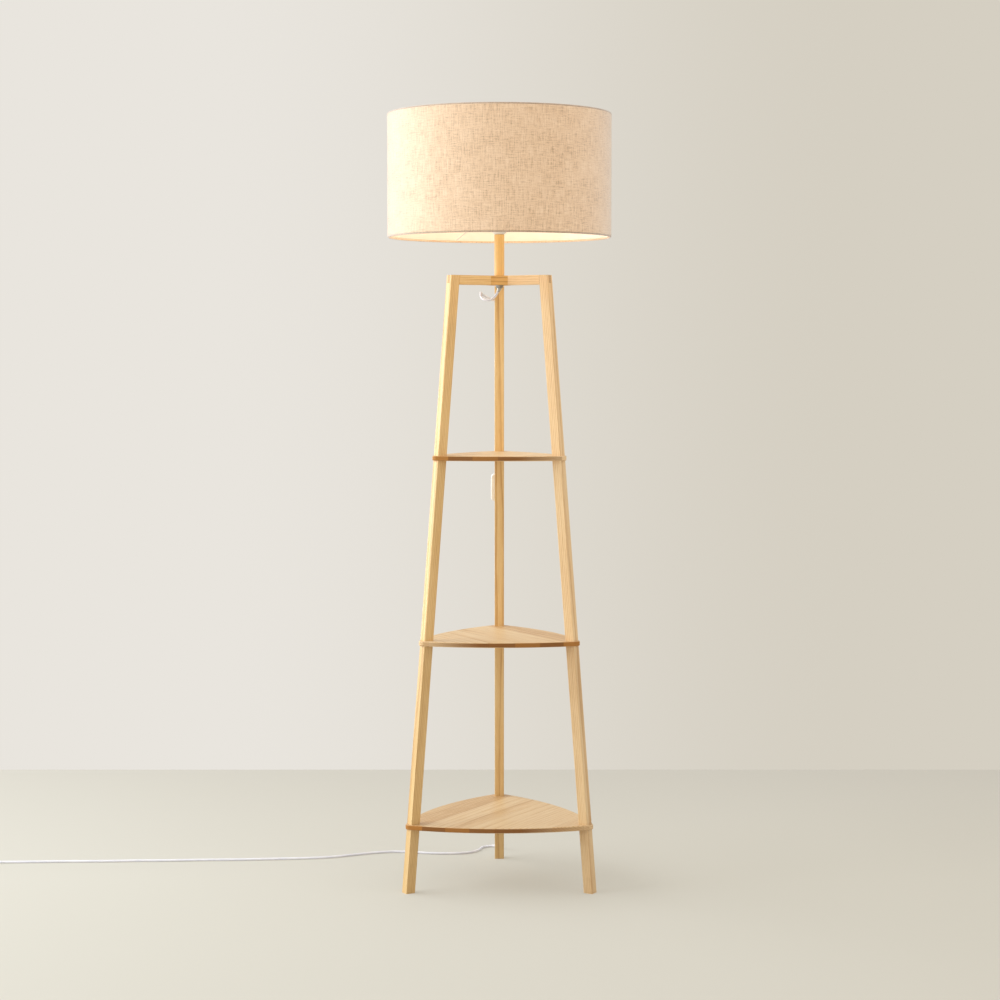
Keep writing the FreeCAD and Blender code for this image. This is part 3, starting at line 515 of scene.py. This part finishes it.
def cord(name, points, material, nodes):
    """A round cord on one smooth spline through its control points."""
    curve = bpy.data.curves.new(name, "CURVE")
    curve.dimensions = "3D"
    curve.bevel_depth = CORD_RADIUS
    curve.bevel_resolution = 4
    curve.use_fill_caps = True
    curve.resolution_u = 10
    spline = curve.splines.new("NURBS")
    spline.points.add(len(points) - 1)
    spline.points.foreach_set("co", [value for point in points for value in (*point, 1.0)])
    spline.order_u = 3
    spline.use_endpoint_u = True
    curve.materials.append(material)
    piece = bpy.data.objects.new(name, curve)
    bpy.context.scene.collection.objects.link(piece)
    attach(piece, "root")
    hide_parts(*nodes)
    return piece


cord_white = plastic("white_cord_sheath", colour(234, 233, 238), colour(224, 224, 232), 0.42)
hanging = cord("cord_to_switch", UPPER_ROUTE, cord_white, ["cord_upper"])

coil = coil_points()
coil_tail = [coil[-1][0], coil[-1][1] - 2 * CORD_RADIUS, coil[-1][2]]
lying = cord("cord_to_plug", LOWER_ROUTE + coil + [coil_tail], cord_white,
             ["cord_lower", "cord_coil"])

# ---- wood ---------------------------------------------------------------------------------------
# The right leg and arm take paler tints: a painted highlight for the whiter light on the right
# leg's lit inner face.
LEG_TINTS = {"rear": (PALE_OAK, MID_OAK, DEEP_OAK), "left": (PALE_OAK, MID_OAK, DEEP_OAK),
             "right": (colour(244, 216, 168), colour(234, 196, 144), colour(196, 148, 94))}
PAINTED_SHADE_BY_SEGMENT = (0.78, 0.82, 0.92, 0.98)                    # painted shade: the legs darker towards the floor, where less light falls
for side, angle in LEG_ANGLES.items():
    outward = Vector((math.cos(math.radians(angle)), math.sin(math.radians(angle)), 0.0))
    lean = outward * (HEAD_RADIUS - FOOT_RADIUS) + Vector((0.0, 0.0, FRAME_HEIGHT))
    for step, segment in enumerate(LEG_SEGMENTS):
        name = "leg_%s_%s" % (side, segment)
        start = (0.035 + 0.013 * step, 0.02 + angle * 0.0001, 0.7 * step + angle * 0.01)
        dress([name], oak("oak_" + name, lean, start, side=outward,
                          tints=toned(LEG_TINTS[side], PAINTED_SHADE_BY_SEGMENT[step])))
    dress(["arm_" + side], oak("oak_arm_" + side, outward, (0.03, 0.012 + angle * 1e-4, angle),
                                tints=LEG_TINTS[side], end_share=0.45))
dress(["hub"], oak("oak_hub", (1.0, 0.0, 0.0), (0.01, 0.03, 2.2),
                   tints=(colour(238, 192, 118), colour(216, 166, 92), colour(156, 98, 40)),
                   ring_width=0.0075))
dress(["hub_dowels"], oak("oak_dowels", (0.0, 1.0, 0.0), (0.02, 0.01, 0.4)))
dress(["pole"], oak("oak_pole", (0.0, 0.0, 1.0), (0.028, 0.006, 5.3), side=(0.0, 1.0, 0.0),
                    tints=(colour(244, 206, 136), colour(236, 192, 118), colour(212, 160, 88))))
SHELF_GRAIN = {"lower": 60.0, "middle": -60.0, "upper": 60.0}
SHELF_TINTS = (colour(240, 209, 163), colour(229, 191, 139), colour(196, 149, 94))
# Painted shade: the shelves are toned darker the lower they stand, where less light falls.
for step, (shelf, grain) in enumerate(SHELF_GRAIN.items()):
    along = (math.cos(math.radians(grain)), math.sin(math.radians(grain)), 0.0)
    dress(["shelf_" + shelf],
          oak("oak_shelf_" + shelf, along, (0.0043 + 0.0031 * step, 0.05, 1.9 * step),
              strip_width=0.046, ring_width=0.0042,
              tints=toned(SHELF_TINTS, 0.78 + 0.08 * step)))

# ---- metal, plastic and wire --------------------------------------------------------------------
zinc = metal("zinc_plated_steel", colour(176, 180, 178), colour(150, 154, 150), 0.34)
brass = metal("turned_brass", colour(214, 178, 108), colour(188, 150, 84), 0.32)
nickel = metal("nickel_plate", colour(206, 202, 194), colour(182, 178, 170), 0.22)
white_wire = lacquer("white_coated_wire", colour(238, 236, 230), colour(228, 226, 218))
white_shell = plastic("white_moulded_shell", colour(240, 238, 232), colour(232, 229, 222), 0.36)
porcelain = plastic("white_porcelain", colour(236, 232, 224), colour(224, 220, 210), 0.24)

dress(["shelf_studs", "hub_washer", "hub_nut", "clip_nails"], zinc)
dress(["leg_inserts", "centre_contact", "screw_shell"], brass)
dress(["plug_pins", "bulb_base", "threaded_tube", "strain_relief"], nickel)
dress(["cord_clips", "plug_body", "switch_inner_half", "switch_outer_half",
       "switch_rocker", "holder_cap", "holder_shell", "retaining_ring"], white_shell)
dress(["inner_lead", "cord_upper", "cord_lower", "cord_coil"], cord_white)
dress(["holder_core"], porcelain)
dress(["shade_wire_bottom", "shade_wire_top", "fitter_ring", "fitter_spokes"], white_wire)
dress(["bulb_glass"], lit_glass("lit_opal_glass"))
cream_lining = lining("cream_shade_lining")
dress(["shade_liner"], cream_lining)

# ---- shade --------------------------------------------------------------------------------------
shade_linen = linen("natural_linen", colour(176, 140, 108), colour(230, 198, 162),
                    colour(242, 218, 190), colour(255, 180, 108), 0.12)
# The rolled edges' cloth is darker than the drum's: painted shade for the thin shadow line along
# both rims.
rim_linen = linen("rolled_linen_edge", colour(140, 112, 90), colour(190, 160, 132),
                  colour(216, 188, 160), colour(255, 206, 146), 0.42, inside_glow=True)
dress(["shade_cover", "shade_hem_top", "shade_hem_bottom"], shade_linen)


def cloth_cover():
    """The cloth's drum: radius plus a slight smooth unevenness and the overlap's step at the seam,
    against angle and height; the outside first, then back down the plain inside."""
    around = 720
    upward = 72
    low = SHADE_LOW + HEM_RADIUS
    high = SHADE_HIGH - HEM_RADIUS
    angle = np.linspace(0.0, math.tau, around, endpoint=False)
    height = np.linspace(low, high, upward)
    uneven = 0.00018 * smooth_random((around, upward), (40.0, 6.0), 11)
    past = np.mod(angle - SEAM_ANGLE + math.pi, math.tau) - math.pi
    overlap = 0.0005 * np.clip(past * SHADE_RADIUS / 0.0012, 0, 1) \
        * np.clip((0.012 - past * SHADE_RADIUS) / 0.004, 0, 1)
    outside = SHADE_RADIUS - 0.0002 + uneven + overlap[:, None]
    inside = np.full((around, 2), SHADE_RADIUS - COVER_WALL)
    radius = np.concatenate([outside, inside], axis=1)
    heights = np.concatenate([height, [high, low]])
    return turned(radius, heights, angle)


def rolled_edge(level):
    """Cloth rolled round a ring wire: a round section whose radius ripples with fine gathers along
    the ring and with the wrap's edge on the inside."""
    around = 720
    section = 18
    angle = np.linspace(0.0, math.tau, around, endpoint=False)
    turn = np.linspace(0.0, math.tau, section, endpoint=False)
    ripple = 1.0 - 0.05 * (0.5 + 0.5 * smooth_random((around, section), (3.0, 2.0), 23))
    lap = 1.0 - 0.06 * np.exp(-((turn - 2.6) / 0.25) ** 2)
    size = HEM_RADIUS * ripple * lap
    radius = SHADE_RADIUS - HEM_RADIUS + size * np.cos(turn)
    return turned(radius, level + size * np.sin(turn), angle)


cover_height = SHADE_HIGH - SHADE_LOW
cover = surface("linen_cover", cloth_cover(), shade_linen, "shade",
                sizes=(math.tau * SHADE_RADIUS, cover_height))
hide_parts("shade_cover")
for end, level in (("bottom", SHADE_LOW + HEM_RADIUS), ("top", SHADE_HIGH - HEM_RADIUS)):
    edge = surface("rolled_edge_" + end, rolled_edge(level), rim_linen, "shade",
                   sizes=(math.tau * SHADE_RADIUS, math.tau * HEM_RADIUS))
    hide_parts("shade_hem_" + end)


# ---- lampholder details -------------------------------------------------------------------------
def closed_ring(outer, inner, height):
    """A ring's whole section, from the bottom up its outside and down its inside."""
    return (np.concatenate([outer, inner[..., ::-1]], axis=-1),
            np.concatenate([height, height[::-1]]))


def knurled_ring():
    """The retaining ring: ribs all round, a cosine of the angle, fading to plain at both rims."""
    low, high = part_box("retaining_ring")
    outer_radius = high.x
    angle = np.linspace(0.0, math.tau, 480, endpoint=False)
    share = np.array([0.0, 0.0, 0.06, 0.14, 0.3, 0.5, 0.7, 0.86, 0.94, 1.0, 1.0])
    inset = np.array([2.6, 0.7, 0.25, 0.0, 0.0, 0.0, 0.0, 0.0, 0.25, 0.7, 2.6]) / 1000.0
    ribs = 0.00035 * (1.0 + np.cos(60.0 * angle[:, None])) * (inset == 0.0)
    outer = outer_radius - inset - ribs
    inner = np.full((angle.size, share.size), 0.01975)
    inner[:, [0, -1]] += 0.0003
    radius, heights = closed_ring(outer, inner, low.z + share * (high.z - low.z))
    return turned(radius, heights, angle)


def thread(outside, height, angle, pitch, depth):
    """A thread's outside: it falls and rises by the depth once each pitch along the axis, and one
    pitch later for each turn round it, and runs out plain at both ends."""
    phase = math.tau * height / pitch - angle[:, None]
    run_out = np.clip(np.minimum(height - height[0], height[-1] - height) / pitch, 0.0, 1.0)
    return outside - depth * (0.5 + 0.5 * np.cos(phase)) * run_out


def threaded_rod():
    """The tube through the hub and the pole: a thread outside and a plain bore."""
    low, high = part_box("threaded_tube")
    pitch = 0.001
    steps = int(round((high.z - low.z) / pitch)) * 6
    height = np.linspace(low.z, high.z, steps)
    angle = np.linspace(0.0, math.tau, 40, endpoint=False)
    outer = thread(0.005, height, angle, pitch, 0.0005)
    bore = np.full(outer.shape, 0.004)
    radius, heights = closed_ring(outer, bore, height)
    return turned(radius, heights, angle)


def threaded_barrel():
    """The lampholder's upper shell: a turned body with a flange, and above it a round thread."""
    low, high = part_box("holder_shell")
    bore = 0.0146
    barrel = 0.0197
    body = 0.02
    flange = 0.0225
    edge = 0.0003                    # broken edges
    flange_low = low.z + 0.018
    flange_high = flange_low + 0.0025
    below = np.array([
        (bore + 0.0002, low.z), (body - edge, low.z), (body, low.z + 0.0004),
        (body, flange_low - 0.0001), (body + 0.0002, flange_low), (flange - edge, flange_low),
        (flange, flange_low + edge), (flange, flange_high - edge), (flange - edge, flange_high),
        (barrel, flange_high)])
    height = np.linspace(flange_high + 0.0001, high.z - 0.0008, 76)
    angle = np.linspace(0.0, math.tau, 96, endpoint=False)
    turns = thread(barrel, height, angle, 0.0025, 0.0009)
    rim = np.array([(barrel - 0.0005, high.z), (bore + edge, high.z), (bore, high.z - 0.0004),
                    (bore, low.z + edge)])
    plain = [np.tile(part[:, 0], (angle.size, 1)) for part in (below, rim)]
    radius = np.concatenate([plain[0], turns, plain[1]], axis=1)
    heights = np.concatenate([below[:, 1], height, rim[:, 1]])
    return turned(radius, heights, angle)


def lining_seam():
    """The strip where the lining overlaps itself: a thin curved slab up the shade's inside, whose
    two upright edges close on their own middle line."""
    half = 0.006 / LINING_RADIUS
    angle = SEAM_ANGLE + np.linspace(-half, half, 9)
    height = np.linspace(SHADE_LOW + 2 * HEM_RADIUS, SHADE_HIGH - 2 * HEM_RADIUS, 40)
    back = turned(np.full(height.size, LINING_RADIUS - 0.00005), height, angle)
    front = turned(np.full(height.size, LINING_RADIUS - 0.0004), height[::-1], angle)
    slab = np.concatenate([back, front], axis=1)
    middle = (slab + slab[:, ::-1]) / 2.0
    return np.concatenate([middle[:1], slab, middle[-1:]], axis=0)


ring = surface("knurled_ring", knurled_ring(), white_shell, "clamp_ring")
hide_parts("retaining_ring")
tube = surface("threaded_rod", threaded_rod(), nickel, "root")
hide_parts("threaded_tube")
barrel = surface("threaded_barrel", threaded_barrel(), white_shell, "root")
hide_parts("holder_shell")
surface("lining_seam", lining_seam(), cream_lining, "shade", closed=(False, True))


# ---- stage and light ----------------------------------------------------------------------------
def pale_floor():
    """Plain pale floor, with painted shade under the window so that it doesn't glare there; part of
    what is seen is the floor's colour as plain glow, with painted shade that darkens it at the back
    and towards the right, away from the window."""
    made = Finish("pale_floor", roughness=0.75, specular=0.1)
    axes = made.axes(made.place)
    cloud = made.noise(made.place, 0.8, 2.0, 0.5)
    tint = made.blend(cloud, colour(200, 195, 184), colour(203, 198, 188))
    # painted shade under the window keeps the floor from glaring there
    painted_shade_under_window = made.spread(axes["X"], -3.4, -1.4, 1.0, 0.0)
    made.set("Base Color", made.blend(painted_shade_under_window, tint, colour(138, 134, 126)))
    # painted shade: the floor as seen darkens towards the right and the back, away from the window
    painted_shade_right = made.spread(axes["X"], -1.0, 1.0, 0.0, 1.0)
    painted_shade_back = made.spread(axes["Y"], 0.0, FLOOR_EDGE, 0.0, 0.6)
    tone = made.blend(painted_shade_right, colour(226, 224, 211), colour(209, 204, 188))
    tone = made.blend(painted_shade_back, tone, colour(180, 176, 166))
    own = made.sum("MULTIPLY", made.seen_directly(), 0.45)
    seen = made.either(own, made.shader.outputs[0], made.glow("ShaderNodeEmission", tone))
    made.feed(made.tree.nodes["Material Output"].inputs["Surface"], seen)
    return made.material


floor_mesh = bpy.data.meshes.new("floor")
floor_mesh.from_pydata([(-9, -9, 0), (9, -9, 0), (9, FLOOR_EDGE, 0), (-9, FLOOR_EDGE, 0)], [],
                       [(0, 1, 2, 3)])
floor_mesh.materials.append(pale_floor())
floor = bpy.data.objects.new("floor", floor_mesh)
bpy.context.scene.collection.objects.link(floor)


def studio():
    """The surroundings: what is seen is a pale wall with painted shade that darkens it from left to
    right, away from the window, and what lights the lamp is plain warm white."""
    world = bpy.data.worlds.new("studio")
    world.use_nodes = True
    sky = Nodes(world.node_tree)
    sky.tree.nodes.clear()
    across = sky.axes(sky.node("ShaderNodeTexCoord").outputs["Generated"])["X"]
    # painted shade: the wall as seen darkens from left to right, away from the window
    painted_wall_shade = sky.spread(across, -0.13, 0.16, 0.0, 1.0, interpolation_type="SMOOTHSTEP")
    wall = sky.blend(painted_wall_shade, colour(233, 229, 222), colour(213, 207, 194))
    light = sky.either(sky.seen_directly(),
                       sky.glow("ShaderNodeBackground", (1.0, 0.97, 0.93, 1.0), 0.88),
                       sky.glow("ShaderNodeBackground", wall))
    sky.feed(sky.node("ShaderNodeOutputWorld").inputs["Surface"], light)
    return world


def window(name, place, target, width, height, power, tint):
    """A soft oblong light that points at a place, as a window does, with its power in watts."""
    light = bpy.data.lights.new(name, "AREA")
    light.shape = "RECTANGLE"
    light.size = width
    light.size_y = height
    light.energy = power
    light.color = tint
    made = bpy.data.objects.new(name, light)
    made.location = place
    made.rotation_euler = (Vector(target) - Vector(place)).to_track_quat("-Z", "Y").to_euler()
    made.visible_camera = False
    bpy.context.scene.collection.objects.link(made)


bpy.context.scene.world = studio()
window("window_left", (-3.4, 0.2, 2.0), (0.0, 0.0, 1.1), 5.0, 3.5, 205.0, (0.88, 0.95, 1.0))
window("room_right", (2.9, -1.3, 2.1), (0.0, 0.0, 1.44), 1.6, 1.2, 12.0, (1.0, 0.94, 0.84))
